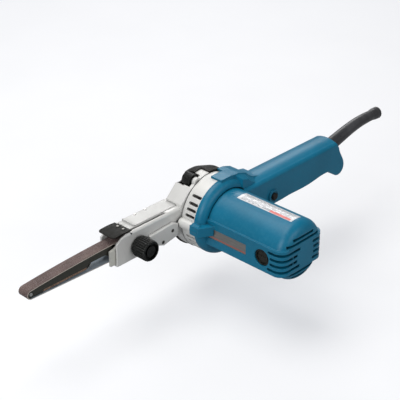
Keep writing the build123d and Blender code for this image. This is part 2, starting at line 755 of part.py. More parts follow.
with BuildPart() as armature_windings:
    # end turns beyond each face of the core
    with BuildSketch(Plane.XY):
        with BuildLine():
            Polyline((5.5, -46), (14, -46), (17.6, -49), (17.6, CORE_FAR), (5.5, CORE_FAR),
                     close=True)
        make_face()
        with BuildLine():
            Polyline((5.5, CORE_FAR - CORE_L), (17.6, CORE_FAR - CORE_L), (17.6, -101),
                     (13, -105), (5.5, -105), close=True)
        make_face()
    revolve(axis=Axis.Y)
    # wires in the slots, running 1 mm into the end turns
    with BuildSketch(at_y(CORE_FAR + 1)):
        with PolarLocations(SLOT_PITCH_R, SLOT_COUNT):
            Circle(2.2)
    extrude(amount=CORE_L + 2)
save(armature_windings, "armature_windings")

COMMUTATOR_R = 10.6
with BuildPart() as commutator:
    with BuildSketch(at_y(-107)):
        Circle(COMMUTATOR_R)
        Circle(SHAFT_R, mode=Mode.SUBTRACT)
        with PolarLocations(COMMUTATOR_R - 0.2, 24):
            Rectangle(1.2, 0.4, mode=Mode.SUBTRACT)
    extrude(amount=12.6)
save(commutator, "commutator")

FAN_FAR = -21
FAN_DISCS = [(FAN_FAR, 8, 9), (-28.4, 34.5, 1.6)]      # hub, back plate: (y, radius, length)
with BuildPart() as cooling_fan:
    for disc_y, disc_r, length in FAN_DISCS:
        with BuildSketch(at_y(disc_y)):
            Circle(disc_r)
            Circle(SHAFT_R, mode=Mode.SUBTRACT)
        extrude(amount=length)
    # radial blades
    with BuildSketch(at_y(FAN_FAR)):
        with PolarLocations(21.5, 14):
            Rectangle(25.0, 1.3)
    extrude(amount=8.2)
save(cooling_fan, "cooling_fan")

# ---------------------------------------------------------------- stator
COIL_PITCH_R = 23.2                     # four coil slots on the diagonals

with BuildPart() as field_core:
    with BuildSketch(at_y(-54)):
        Circle(BARREL_BORE_R)
        Circle(19.6, mode=Mode.SUBTRACT)
        with PolarLocations(COIL_PITCH_R, 4, start_angle=45):
            Rectangle(5.4, 6.4, mode=Mode.SUBTRACT)
        with PolarLocations(20.2, 4, start_angle=45):
            Rectangle(3.0, 2.4, mode=Mode.SUBTRACT)
    extrude(amount=42)
save(field_core, "field_core")

COIL_FAR, COIL_L, COIL_END_T = -47.5, 55, 5.5
with BuildPart() as field_coils:
    with BuildSketch(at_y(COIL_FAR)):
        with PolarLocations(COIL_PITCH_R, 4, start_angle=45):
            Rectangle(5.2, 6.2)
    extrude(amount=COIL_L)
    # end turns
    for end_y in (COIL_FAR, COIL_FAR - COIL_L + COIL_END_T):
        with BuildSketch(at_y(end_y)):
            Circle(25.8)
            Circle(20.6, mode=Mode.SUBTRACT)
            Rectangle(28.0, 60, mode=Mode.SUBTRACT)
        extrude(amount=COIL_END_T)
save(field_coils, "field_coils")

# ---------------------------------------------------------------- grip form
# Outer form of the grip: side outline (x, z), crowned across its top (y, z).
GRIP_HEEL = [(177.5, 18), (184, 5), (188, -6), (186, -12.5), (178, -15.8), (170, -12.5),
             (161, -5.6)]
GRIP_UNDERSIDE = [(161, -5.6), (147, -5.2), (134, -6.8), (116, -8.0), (97, -7.6),
                  (80, GRIP_Z0)]

with BuildPart() as grip_form:
    with BuildSketch(at_y(GRIP_FAR)):
        with BuildLine():
            Polyline((20, 32), (172, 32), (173.5, 25), GRIP_HEEL[0])
            Spline(*GRIP_HEEL)
            Spline(*GRIP_UNDERSIDE)
            Polyline(GRIP_UNDERSIDE[-1], (20, GRIP_Z0), (20, 32))
        make_face()
    extrude(amount=GRIP_FAR - GRIP_NEAR)
    with BuildSketch(at_x(0)):
        with BuildLine():
            Line((GRIP_FAR, -30), (GRIP_NEAR, -30))
            Line((GRIP_NEAR, -30), (GRIP_NEAR, 22.5))
            ThreePointArc((GRIP_NEAR, 22.5), (-44.6, 24.8), (-42, 26.0))
            ThreePointArc((-42, 26.0), (-29, 28.2), (-18.5, 25.5))
            ThreePointArc((-18.5, 25.5), (-16, 23.8), (GRIP_FAR, 21))
            Line((GRIP_FAR, 21), (GRIP_FAR, -30))
        make_face()
    extrude(amount=200, mode=Mode.INTERSECT)

# ---------------------------------------------------------------- motor housing
COLLAR_NEAR = -41                       # near end of the collar
COLLAR_EDGE = (COLLAR_R, -32.8)         # start of its rounded shoulder (radius, y)
COLLAR_NECK = (33.2, COLLAR_NEAR)

# Outlines (x, z)
ROOT_EDGE = [(20, 42.0), (31, 38.4), (36, 33.4), (43, 29.4), (52, 27.6), (60, 20),
             (60, GRIP_Z0), (44, -14)]
# Layers of the grip root: (far y, length, outline)
ROOT_LAYERS = [
    (-21.5, 14.5, [(-6, 10), (-6, 43.0), (8, 43.4), *ROOT_EDGE, (36, -24), (30, -24)]),
    (-13.7, 20, [(12, 30), (12, 42.6), *ROOT_EDGE, (36, -20)])]
ROOT_BEVEL = [(15, 20), (15, 41.6), (20, 41.4), (31, 37.8), (36, 32.9), (43, 28.9),
              (52, 27.1), (60, 20), (60, -7.8), (44, -13.4), (36, -18)]
HOLLOW_REAR = [(173, 12), (178, 0), (178, -8), (168, -6), (160, -2.4), (134, -3.6),
               (116, -4.8)]             # rear and underside of the grip hollow
COVER_AREA = [(54, 40), (200, 40), (200, -30), (54, -30)]
COVER_CUT_FAR = -10                     # plane beyond the grip's far face

GRIP_SCREW_R = 1.3
TRIGGER_PIN_R, TRIGGER_PIN_L = 1.5, 17.0
CORD_START = (171.0, GRIP_MID, 14.0)    # where the cord guard begins
CORD_START_DIR = (0.97, 0, 0.243)
CAP_R = 9.0                             # brush caps
BADGE_Y, BADGE_Z = -67.3, -2.9          # centre of the badge

VENT_H = 3.1
# (centre z, side slot centre y, side slot length, corner cut width, inner end x)
SIDE_VENTS = [
    (6.2, -125.6, 10.4, 22.4, -5), (-0.1, -127.0, 7.6, 19.4, -9),
    (-6.3, -127.0, 7.6, 19.4, -9), (-12.6, -125.6, 10.4, 22.4, -5)]
END_VENT_H = 2.9
END_VENTS = [(13.6, 46), (18.6, 30), (-19.6, 42), (-24.4, 26)]     # (centre z, width)

with BuildPart() as motor_housing:
    # barrel with a flat band on each side, rounded at its end
    with BuildSketch(at_y(-38)):
        Circle(BARREL_R)
    extrude(amount=-38 - BARREL_END)
    fillet(motor_housing.edges().group_by(Axis.Y)[0], 11)
    with BuildSketch(at_y(-33)):
        with Locations((0, (BAND_LO + BAND_HI) / 2)):
            Rectangle(2 * BAND_X + 1.4, BAND_HI - BAND_LO)
    extrude(amount=-33 - BARREL_END)
    fillet(motor_housing.edges().filter_by(Axis.Z).group_by(Axis.Y)[0], 10.5)
    # collar against the gear housing, with a rounded shoulder
    with BuildSketch(Plane.XY):
        with BuildLine():
            Line((0, GEAR_JOINT), (COLLAR_R, GEAR_JOINT))
            Line((COLLAR_R, GEAR_JOINT), COLLAR_EDGE)
            RadiusArc(COLLAR_EDGE, COLLAR_NECK, 8.2, short_sagitta=True)
            Line(COLLAR_NECK, (0, COLLAR_NEAR))
            Line((0, COLLAR_NEAR), (0, GEAR_JOINT))
        make_face()
    revolve(axis=Axis.Y)
    # bosses for the long housing screws
    with BuildSketch(at_y(GEAR_JOINT)):
        circles(5.6, *HOUSING_BOSSES[:2])
    extrude(amount=9.5)
    with BuildSketch(at_z(-3.6)):
        with BuildLine():
            Polyline((-47.2, GEAR_JOINT), (-47.2, -42.5), (-31, -52), (-31, GEAR_JOINT),
                     close=True)
        make_face()
    extrude(amount=10.2)
    # root of the grip, wrapping over the gear housing
    for layer_y, length, outline in ROOT_LAYERS:
        with BuildSketch(at_y(layer_y)):
            with BuildLine():
                Polyline(*outline, close=True)
            make_face()
        extrude(amount=length)
    # bevelled layer that carries the root out to the grip's near face
    with BuildSketch(at_y(-35.8)):
        with BuildLine():
            Polyline(*ROOT_BEVEL, close=True)
        make_face()
    extrude(amount=6.6, taper=34)
    add(grip_form.part)
    # groove where the barrel enters the collar, above the side bands
    with BuildSketch(at_y(-38.8)):
        Circle(33.1)
        Circle(BARREL_R, mode=Mode.SUBTRACT)
        with Locations((-6, 26)):
            Rectangle(68, 28.4, mode=Mode.INTERSECT)
    cut(4)
    # room for the gear housing
    with BuildSketch(at_y(0)):
        Circle(RING_R)
        circles(BOSS_R, *HOUSING_BOSSES)
    cut(-GEAR_JOINT)
    # inside of collar and barrel
    with BuildSketch(at_y(GEAR_JOINT)):
        Circle(37)
    cut(6.5)
    with BuildSketch(at_y(GEAR_JOINT)):
        Circle(BARREL_BORE_R)
        with Locations((0, (BAND_LO + BAND_HI) / 2)):
            Rectangle(2 * BARREL_BORE_R, 22)
    cut(100.5)
    # seat and web of the rear bearing: (far y, bore radius, length)
    for ring_y, bore_r, length in ((REAR_BEARING_FAR, REAR_SEAT_R, 9.6), (-128.02, 6.5, 1.6)):
        with BuildSketch(at_y(ring_y)):
            Circle(12.5)
            Circle(bore_r, mode=Mode.SUBTRACT)
        extrude(amount=length)
    # hollow of the grip
    with BuildSketch(at_y(GRIP_SPLIT)):
        with BuildLine():
            Polyline((44.6, 21.5), (168, 21.5), *HOLLOW_REAR, (44.6, -4.8), close=True)
        make_face()
    cut(23.0)
    # seat of the grip cover on the far side
    with BuildSketch(at_y(COVER_CUT_FAR)):
        with BuildLine():
            Polyline(*COVER_AREA, close=True)
        make_face()
    cut(COVER_CUT_FAR - GRIP_SPLIT)
    # trigger opening
    with BuildSketch(at_z(-20)):
        with Locations((60.7, GRIP_MID)):
            Rectangle(32, 12.6)
    cut(20)
    # boss, bore and outer recess of the lock button
    with BuildSketch(at_y(-43.2)):
        circles(7.4, LOCK_BUTTON)
    extrude(amount=4.8)
    with BuildSketch(at_y(-43)):
        circles(4.05, LOCK_BUTTON)
    cut(6)
    with BuildSketch(at_y(-47.2)):
        circles(5.6, LOCK_BUTTON)
    cut(1)
    # cord guard seat in the rear wall, starting 5 direction lengths inside the guard's end
    with BuildSketch(Plane(origin=Vector(CORD_START) - Vector(CORD_START_DIR) * 5,
                           x_dir=(0, 1, 0), z_dir=CORD_START_DIR)):
        Circle(7.6)
    cut(30)
    # brush cap seats
    for side in (-1, 1):
        with BuildSketch(at_x(side * 24)):
            with Locations(BRUSH):
                Circle(CAP_R + 1.4)
                Circle(CAP_R, mode=Mode.SUBTRACT)
        extrude(amount=side * 8.0)
        with BuildSketch(at_x(side * 24)):
            circles(CAP_R, BRUSH)
        cut(side * 12)
    # badge recess on the front band
    with BuildSketch(at_x(-33)):
        with Locations((BADGE_Y, BADGE_Z)):
            Rectangle(51, 11.6)
    cut(1.6)
    # side vents
    for z, slot_y, slot_length, corner_width, _ in SIDE_VENTS:
        for side in (-1, 1):
            with BuildSketch(at_x(side * 26)):
                with Locations((slot_y, z)):
                    SlotOverall(slot_length, VENT_H)
            cut(side * 10)
            # vents that wrap round the end corners
            with BuildSketch(at_z(z - VENT_H / 2)):
                with Locations((side * 25.2, -138.2)):
                    Rectangle(corner_width, 19.2)
            cut(VENT_H)
    # long vents on the rounded end above and below
    for z, width in END_VENTS:
        with BuildSketch(at_z(z - END_VENT_H / 2)):
            with Locations((-1, -141)):
                Rectangle(width, 24.0)
        cut(END_VENT_H)
    # shallow inner ends of the front (-X) vents, over the bearing seat
    for z, *_, inner_x in SIDE_VENTS:
        with BuildSketch(at_z(z - VENT_H / 2)):
            with Locations(((inner_x - 15) / 2, -141)):
                Rectangle(15 + inner_x, 12)
        cut(VENT_H)
    # screw and trigger pin holes
    with BuildSketch(at_y(-30)):
        circles(HOUSING_SCREW_R, *HOUSING_BOSSES)
    cut(8.0)
    with BuildSketch(at_y(GRIP_MID + TRIGGER_PIN_L / 2)):
        circles(TRIGGER_PIN_R, TRIGGER_PIN)
    cut(TRIGGER_PIN_L)
    with BuildSketch(at_y(GRIP_FAR)):
        circles(GRIP_SCREW_R, *GRIP_SCREWS)
    cut(28.2)
    # pillars for the cover screws
    with BuildSketch(at_y(GRIP_SPLIT)):
        with Locations(*GRIP_SCREWS):
            Circle(3.4)
            Circle(GRIP_SCREW_R, mode=Mode.SUBTRACT)
    extrude(amount=23.2)
save(motor_housing, "motor_housing")

with BuildPart() as grip_cover:
    add(grip_form.part)
    with BuildSketch(at_y(COVER_CUT_FAR)):
        with BuildLine():
            Polyline(*COVER_AREA, close=True)
        make_face()
    extrude(amount=COVER_CUT_FAR - GRIP_SPLIT, mode=Mode.INTERSECT)
    with BuildSketch(at_y(-17.5)):
        with BuildLine():
            Polyline((56.5, 21), (168, 21), *HOLLOW_REAR, (56.5, -4.8), close=True)
        make_face()
    cut(6)
    # screw holes with counterbores: (radius, depth)
    for hole_r, depth in ((GRIP_SCREW_R, 20), (2.6, 6.4)):
        with BuildSketch(at_y(COVER_CUT_FAR)):
            circles(hole_r, *GRIP_SCREWS)
        cut(depth)
save(grip_cover, "grip_cover")

save_turned_pins("grip_screws", at_y, GRIP_SCREWS,
                 (-15.4, 2.5, 1.0, (3.4, 0.7)), (-16.4, GRIP_SCREW_R, 18))

# ---------------------------------------------------------------- plates on the motor housing
with BuildPart() as badge_plate:
    with BuildSketch(at_x(-32.1)):
        with Locations((BADGE_Y, BADGE_Z)):
            Rectangle(50.6, 11.2)
    extrude(amount=0.7)
save(badge_plate, "badge_plate")

# Curved label on top of the barrel
LABEL_T = 0.2
LABEL_ANGLES = (101, 88, 75)            # front edge, middle, rear edge, from +X towards +Z
label_inner = [on_circle(BARREL_R, angle) for angle in LABEL_ANGLES]
label_outer = [on_circle(BARREL_R + LABEL_T, angle) for angle in LABEL_ANGLES]

with BuildPart() as rating_label:
    with BuildSketch(at_y(-57)):
        with BuildLine():
            ThreePointArc(*label_inner)
            Line(label_inner[-1], label_outer[-1])
            ThreePointArc(*label_outer[::-1])
            Line(label_outer[0], label_inner[0])
        make_face()
    extrude(amount=70)
save(rating_label, "rating_label")

# ---------------------------------------------------------------- brushes
with BuildPart() as brush_caps:
    for side in (-1, 1):
        with BuildSketch(at_x(side * 26.5)):
            circles(CAP_R, BRUSH)
        extrude(amount=side * 4.2)
        # dished outer face with a slotted disc in it
        with BuildSketch(at_x(side * 29.5)):
            with Locations(BRUSH):
                Circle(7.4)
                Rectangle(12.0, 1.8, mode=Mode.SUBTRACT)
        cut(side * 2)
        with BuildSketch(at_x(side * 29.4)):
            with Locations(BRUSH):
                Circle(6.0)
                Rectangle(9.0, 1.6, mode=Mode.SUBTRACT)
        extrude(amount=side * 0.7)
save(brush_caps, "brush_caps")

CARBON_W, CARBON_H = 7.0, 5.0
with BuildPart() as brush_holders:
    for side in (-1, 1):
        with BuildSketch(at_x(side * 12.2)):
            with Locations(BRUSH):
                Rectangle(9.2, 7.2)
                Rectangle(CARBON_W + 0.1, CARBON_H + 0.1, mode=Mode.SUBTRACT)
        extrude(amount=side * 14.2)
save(brush_holders, "brush_holders")

with BuildPart() as carbon_brushes:
    for side in (-1, 1):
        with BuildSketch(at_x(side * 8.0)):
            with Locations(BRUSH):
                Rectangle(CARBON_W, CARBON_H)
        extrude(amount=side * 12.0)
    # inner ends hollowed to the commutator
    with BuildSketch(at_y(-100)):
        Circle(COMMUTATOR_R + 0.03)
    cut(30)
save(carbon_brushes, "carbon_brushes")

save_springs("brush_springs", 0.25, 1.8, 1.2, 5.6,
             *[((side * 20.5, *BRUSH), (side, 0, 0)) for side in (-1, 1)])

# ---------------------------------------------------------------- switch and trigger
SPRING_X = 56                           # trigger spring axis
SWITCH_Z0 = 6

with BuildPart() as switch_body:
    with BuildSketch(at_z(SWITCH_Z0)):
        with Locations((73, -30)):
            Rectangle(46, 16)
    extrude(amount=14)
    fillet(switch_body.edges().filter_by(Axis.Z), 1.5)
    # round stud over the trigger spring
    with BuildSketch(at_z(SWITCH_Z0 - 1)):
        circles(2.0, (SPRING_X, GRIP_MID))
    extrude(amount=1)
save(switch_body, "switch_body")

TRIGGER_W = 12.0
TRIGGER_X0, TRIGGER_X1, TRIGGER_Z1 = 46.2, 75.6, -0.6

with BuildPart() as trigger:
    with BuildSketch(at_y(GRIP_MID + TRIGGER_W / 2)):
        with BuildLine():
            Line((TRIGGER_X0, TRIGGER_Z1), (TRIGGER_X1, TRIGGER_Z1))
            Line((TRIGGER_X1, TRIGGER_Z1), (TRIGGER_X1, -8.4))
            ThreePointArc((TRIGGER_X1, -8.4), (62, -13.2), (50, -17.0))
            ThreePointArc((50, -17.0), (47.2, -14), (TRIGGER_X0, TRIGGER_Z1))
        make_face()
    extrude(amount=TRIGGER_W)
    with BuildSketch(at_y(-20)):
        circles(TRIGGER_PIN_R + 0.05, TRIGGER_PIN)
    cut(25)
save(trigger, "trigger")

save_turned_pins("trigger_pin", at_y, [TRIGGER_PIN],
                 (GRIP_MID + TRIGGER_PIN_L / 2, TRIGGER_PIN_R, TRIGGER_PIN_L))
save_springs("trigger_spring", 0.3, 2.8, 1.5, 4.6, ((SPRING_X, GRIP_MID, -0.1), (0, 0, 1)))

with BuildPart() as lock_button:
    # inner flange, then the button
    with BuildSketch(at_y(-41.2)):
        circles(4.9, LOCK_BUTTON)
    extrude(amount=1.6)
    with BuildSketch(at_y(-42.8)):
        circles(4.0, LOCK_BUTTON)
    extrude(amount=7.0)
    fillet(lock_button.edges().group_by(Axis.Y)[0], 1.0)
save(lock_button, "lock_button")

save_springs("lock_spring", 0.25, 2.6, 0.9, 2.3,
             ((LOCK_BUTTON[0], -40.9, LOCK_BUTTON[1]), (0, 1, 0)))

# ---------------------------------------------------------------- cord
CORD_R = 3.4
CORD_END_DIR = (1, 0, -0.06)
# Centre line of the guard (x, y, z)
GUARD_POINTS = [CORD_START, (200, GRIP_MID, 21.0), (231, GRIP_MID, 26.8),
                (252, GRIP_MID, 27.6), (268.5, GRIP_MID, 27.2)]
GUARD_STEPS = 16
GUARD_R = 7.5

with BuildLine():
    spine = Spline(*GUARD_POINTS, tangents=[CORD_START_DIR, CORD_END_DIR])


def across_spine(t):
    """Plane across the guard's centre line at fraction t of its length."""
    return Plane(origin=spine @ t, x_dir=(0, 1, 0), z_dir=spine % t)


def guard_radius(t):
    """Straight collar, long taper, then a slightly thicker lip at the end."""
    if t > 0.93:
        return 6.9 if t < 0.97 else 7.0
    if t < 0.13:
        return GUARD_R
    return GUARD_R - 1.6 * (t - 0.13) / 0.80


with BuildPart() as cord_guard:
    for step in range(GUARD_STEPS + 1):
        with BuildSketch(across_spine(step / GUARD_STEPS)):
            Circle(guard_radius(step / GUARD_STEPS))
    loft(ruled=True)
    with BuildSketch(across_spine(0)):
        Circle(CORD_R + 0.1)
    sweep(path=spine, mode=Mode.SUBTRACT)
save(cord_guard, "cord_guard")

with BuildPart() as power_cord:
    with BuildSketch(across_spine(0)):
        Circle(CORD_R)
    sweep(path=spine)
    # straight ends: into the grip and just past the guard, (t, direction, length)
    for t, direction, length in ((0, CORD_START_DIR, -22), (1, CORD_END_DIR, 2.2)):
        with BuildSketch(Plane(origin=spine @ t, x_dir=(0, 1, 0),
                               z_dir=Vector(direction).normalized())):
            Circle(CORD_R)
        extrude(amount=length)
save(power_cord, "power_cord")
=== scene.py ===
"""Compact belt sander: looks, stage and camera for the CAD pieces.

Lengths are metres, +Z up. Shapes and patterns are laid out from the motor axis, which runs
along Y; the belt arm reaches out towards -X. The scene's origin is the barrel mount, so every
placed point has ORIGIN, the mount's place seen from the motor axis, taken off.
"""

import json
import math

import bmesh
import bpy
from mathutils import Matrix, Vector


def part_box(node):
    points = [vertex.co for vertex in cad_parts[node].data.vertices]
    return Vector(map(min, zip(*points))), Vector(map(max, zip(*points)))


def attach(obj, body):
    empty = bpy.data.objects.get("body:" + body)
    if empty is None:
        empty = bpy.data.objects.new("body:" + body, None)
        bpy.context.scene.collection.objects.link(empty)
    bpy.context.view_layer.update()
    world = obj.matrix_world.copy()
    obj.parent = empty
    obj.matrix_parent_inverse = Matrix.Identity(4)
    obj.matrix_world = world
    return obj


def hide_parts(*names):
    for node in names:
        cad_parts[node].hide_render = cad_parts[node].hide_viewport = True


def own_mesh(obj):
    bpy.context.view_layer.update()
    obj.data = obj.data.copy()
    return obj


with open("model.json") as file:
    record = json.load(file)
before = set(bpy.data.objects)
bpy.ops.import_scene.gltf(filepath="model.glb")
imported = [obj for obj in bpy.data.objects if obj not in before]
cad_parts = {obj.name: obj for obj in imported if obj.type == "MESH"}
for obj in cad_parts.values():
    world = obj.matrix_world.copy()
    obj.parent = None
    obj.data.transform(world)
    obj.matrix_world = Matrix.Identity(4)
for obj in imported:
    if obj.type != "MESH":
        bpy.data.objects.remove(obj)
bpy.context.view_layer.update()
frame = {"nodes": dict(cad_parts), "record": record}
NODES = frame["nodes"]
SLOT_OF = {part["node"]: part["material_slot"] for part in frame["record"]["subparts"]}
ORIGIN = Vector((0.0323, -0.085, -0.0032))
MATERIALS = {}


# ------------------------------------------------------------------ material builder
def feed(socket, value):
    """Link a socket into another, or set its value; colours are given as three numbers."""
    if isinstance(value, bpy.types.NodeSocket):
        socket.id_data.links.new(value, socket)
    elif socket.type == "RGBA":
        socket.default_value = (*value, 1)
    else:
        socket.default_value = value


def shade(color, factor):
    return tuple(min(1.0, channel * factor) for channel in color)


class Material:
    """A procedural material: colour layers and bumps are stacked from the bottom up."""

    def __init__(self, name):
        self.material = bpy.data.materials.new(name)
        self.material.use_nodes = True
        self.material.diffuse_color = (0.5, 0.5, 0.5, 1)
        MATERIALS[name] = self.material
        self.tree = self.material.node_tree
        self.tree.nodes.clear()
        output = self.node("ShaderNodeOutputMaterial")
        self.shader = self.node("ShaderNodeBsdfPrincipled")
        feed(output.inputs["Surface"], self.shader.outputs["BSDF"])
        place = self.node("ShaderNodeTexCoord").outputs["Object"]
        shifted = self.node("ShaderNodeVectorMath", {0: place, 1: ORIGIN}, operation="ADD")
        self.coord = shifted.outputs["Vector"]
        self.color = None
        self.normal = None

    def node(self, kind, inputs=None, **settings):
        node = self.tree.nodes.new(kind)
        for key, value in settings.items():
            setattr(node, key, value)
        for key, value in (inputs or {}).items():
            feed(node.inputs[key], value)
        return node

    # Textures
    def mapping(self, stretch):
        inputs = {"Vector": self.coord, "Scale": stretch}
        return self.node("ShaderNodeMapping", inputs).outputs["Vector"]

    def noise(self, scale=1.0, detail=3.0, rough=0.55, distortion=0.0, stretch=None):
        inputs = {"Vector": self.mapping(stretch) if stretch else self.coord, "Scale": scale,
                  "Detail": detail, "Roughness": rough, "Distortion": distortion}
        return self.node("ShaderNodeTexNoise", inputs).outputs["Fac"]

    def cells(self, scale, output="Distance"):
        inputs = {"Vector": self.coord, "Scale": scale}
        return self.node("ShaderNodeTexVoronoi", inputs).outputs[output]

    def cell_values(self, scale):
        """One random value per cell."""
        return self.axis("X", self.cells(scale, "Color"))

    def wave(self, kind, direction, scale, stretch=None, **more):
        inputs = {"Vector": self.mapping(stretch) if stretch else self.coord, "Scale": scale}
        settings = {"wave_type": kind, kind.lower() + "_direction": direction}
        return self.node("ShaderNodeTexWave", {**inputs, **more}, **settings).outputs["Fac"]

    # Arithmetic
    def axis(self, which, source=None):
        return self.node("ShaderNodeSeparateXYZ", {0: source or self.coord}).outputs[which]

    def remap(self, value, span, to=(0.0, 1.0)):
        inputs = dict(enumerate((value, *span, *to)))
        return self.node("ShaderNodeMapRange", inputs).outputs["Result"]

    def math(self, operation, first, second=0.0):
        node = self.node("ShaderNodeMath", {0: first, 1: second}, operation=operation)
        return node.outputs[0]

    def add(self, first, second):
        return self.math("ADD", first, second)

    def times(self, first, second):
        return self.math("MULTIPLY", first, second)

    def above(self, value, limit):
        return self.math("GREATER_THAN", value, limit)

    def below(self, value, limit):
        return self.math("LESS_THAN", value, limit)

    # Masks
    def edge(self, radius, samples=6):
        """0 on flat faces, up to 1 along edges; the bevelled normal becomes the lowest one."""
        bevel = self.node("ShaderNodeBevel", {"Radius": radius}, samples=samples)
        self.normal = bevel.outputs["Normal"]
        flat = self.node("ShaderNodeNewGeometry").outputs["Normal"]
        dot = self.node("ShaderNodeVectorMath", {0: self.normal, 1: flat},
                        operation="DOT_PRODUCT")
        return self.remap(dot.outputs["Value"], (0.995, 0.80))

    def painted_crevice_shade(self, reach):
        """Painted-shade mask from ambient occlusion: 1 far inside slots and holes, 0 on open
        faces.
        """
        node = self.node("ShaderNodeAmbientOcclusion", {"Distance": reach}, samples=5)
        return self.remap(node.outputs["AO"], (0.62, 0.28))

    # Layers
    def mix(self, mask, under, over):
        # 0, 6 and 7 are the factor and the two colours; output 2 is the mixed colour
        inputs = {0: mask, 6: under, 7: over}
        return self.node("ShaderNodeMix", inputs, data_type="RGBA").outputs[2]

    def layer(self, over, mask, span=None, amount=1.0):
        """Lay a colour over the rest; span is the mask range that fades it in up to amount."""
        if span:
            mask = self.remap(mask, span, to=(0.0, amount))
        elif amount != 1.0:
            mask = self.times(mask, amount)
        self.color = self.mix(mask, self.color, over)

    def bump(self, height, strength, depth):
        inputs = {"Strength": strength, "Distance": depth, "Height": height}
        if self.normal is not None:
            inputs["Normal"] = self.normal
        self.normal = self.node("ShaderNodeBump", inputs).outputs["Normal"]

    def surface(self, rough, metal=0.0, coat=0.0, spec=0.5, sheen=0.0, aniso=0.0):
        values = {"Base Color": self.color, "Roughness": rough, "Metallic": metal,
                  "Coat Weight": coat, "Coat Roughness": 0.15, "Specular IOR Level": spec,
                  "Sheen Weight": sheen, "Anisotropic": aniso}
        if self.normal is not None:
            values["Normal"] = self.normal
        for key, value in values.items():
            feed(self.shader.inputs[key], value)


# ------------------------------------------------------------------ material families
def moulded(name, base, light, rough, grain=2600.0, wear=0.35, bevel=0.0009, spec=0.5, slot_shade_reach=0.0):
    """Moulded plastic: fine grain, soft tone drift, polished and paler edges."""
    mat = Material(name)
    edge = mat.edge(bevel)
    drift = mat.noise(scale=24.0)
    fine = mat.noise(scale=grain, detail=2.0, rough=0.7)
    mottle = mat.noise(scale=320.0, detail=4.0, rough=0.6)
    mat.color = shade(base, 0.88)
    mat.layer(base, drift, span=(0.35, 0.65))
    mat.layer(light, mottle, span=(0.45, 0.75), amount=0.10)
    patches = mat.noise(scale=140.0, detail=4.0, rough=0.7)
    scuff = mat.times(edge, mat.remap(patches, (0.42, 0.62), to=(0.2, 1.0)))
    mat.layer(light, scuff, amount=wear)
    if slot_shade_reach:
        # Painted shade: slots and holes are darkened to near black through the ambient-occlusion
        # mask.
        mat.layer((0.004, 0.006, 0.007), mat.painted_crevice_shade(slot_shade_reach), amount=0.93)
    skin = mat.remap(mottle, (0.3, 0.7), to=(rough - 0.05, rough + 0.07))
    skin = mat.add(skin, mat.times(scuff, -0.06))
    mat.bump(mottle, strength=0.12, depth=0.00005)
    mat.bump(fine, strength=0.35, depth=0.00002)
    mat.surface(skin, spec=spec)


def cast(name, base, rough, metal, grain=1500.0, worn=(0.93, 0.93, 0.92), slot_shade_reach=0.0):
    """Blasted, lacquered casting: pebbled skin, bright rubbed edges, faint grey marks."""
    mat = Material(name)
    edge = mat.edge(0.0008)
    pebbles = mat.cells(grain)
    fine = mat.noise(scale=grain * 1.7, rough=0.6)
    drift = mat.noise(scale=30.0, detail=4.0, rough=0.6)
    smudge = mat.noise(scale=75.0, detail=5.0, rough=0.7, distortion=0.6)
    mat.color = shade(base, 0.90)
    mat.layer(base, drift, span=(0.35, 0.65))
    mat.layer((0.28, 0.26, 0.23), smudge, span=(0.60, 0.80), amount=0.22)
    mat.layer(worn, fine, span=(0.35, 0.75), amount=0.16)
    patches = mat.noise(scale=260.0, rough=0.6)
    rub = mat.times(edge, mat.remap(patches, (0.35, 0.6), to=(0.25, 1.0)))
    mat.layer(worn, rub, amount=0.6)
    if slot_shade_reach:
        # Painted shade: slots and holes are darkened to near black through the ambient-occlusion
        # mask.
        mat.layer((0.010, 0.010, 0.010), mat.painted_crevice_shade(slot_shade_reach), amount=0.95)
    skin = mat.remap(smudge, (0.3, 0.7), to=(rough - 0.05, rough + 0.08))
    skin = mat.add(skin, mat.times(rub, -0.10))
    height = mat.add(mat.times(pebbles, 0.6), fine)
    mat.bump(smudge, strength=0.05, depth=0.0002)
    mat.bump(height, strength=0.22, depth=0.00004)
    mat.surface(skin, metal)


# Noise stretches: low along the axis that the fine lines follow
LINES_X = (60, 4200, 4200)
LINES_Y = (4200, 60, 4200)
RINGS_Y = (900, 5200, 900)


def lined_metal(name, base, rough, lines, stain=(0.35, 0.30, 0.25)):
    """Turned, ground or drawn metal: fine lines, slight staining, bright edges."""
    mat = Material(name)
    edge = mat.edge(0.0004, samples=4)
    line = mat.noise(rough=0.6, stretch=lines)
    blotch = mat.noise(scale=180.0, detail=4.0, rough=0.65)
    mat.color = shade(base, 0.72)
    mat.layer(base, line, span=(0.3, 0.7))
    mat.layer(stain, blotch, span=(0.58, 0.85), amount=0.35)
    mat.layer(shade(base, 1.35), edge, amount=0.25)
    skin = mat.remap(mat.add(line, blotch), (0.6, 1.4), to=(rough - 0.08, rough + 0.14))
    mat.bump(line, strength=0.18, depth=0.00002)
    mat.surface(skin, metal=1.0, aniso=0.35)


def rubber(name, base, rough, light=(0.10, 0.10, 0.105)):
    """Soft black rubber with a pale bloom."""
    mat = Material(name)
    edge = mat.edge(0.0006, samples=4)
    fine = mat.noise(scale=2200.0, rough=0.7)
    mottle = mat.noise(scale=130.0, detail=4.0, rough=0.6)
    bloom = mat.noise(scale=45.0, detail=4.0, rough=0.6)
    mat.color = base
    mat.layer(light, bloom, span=(0.45, 0.75), amount=0.35)
    mat.layer(light, edge, amount=0.3)
    skin = mat.remap(mottle, (0.3, 0.7), to=(rough - 0.08, rough + 0.10))
    mat.bump(mottle, strength=0.1, depth=0.0001)
    mat.bump(fine, strength=0.3, depth=0.00003)
    mat.surface(skin, spec=0.45, sheen=0.12)


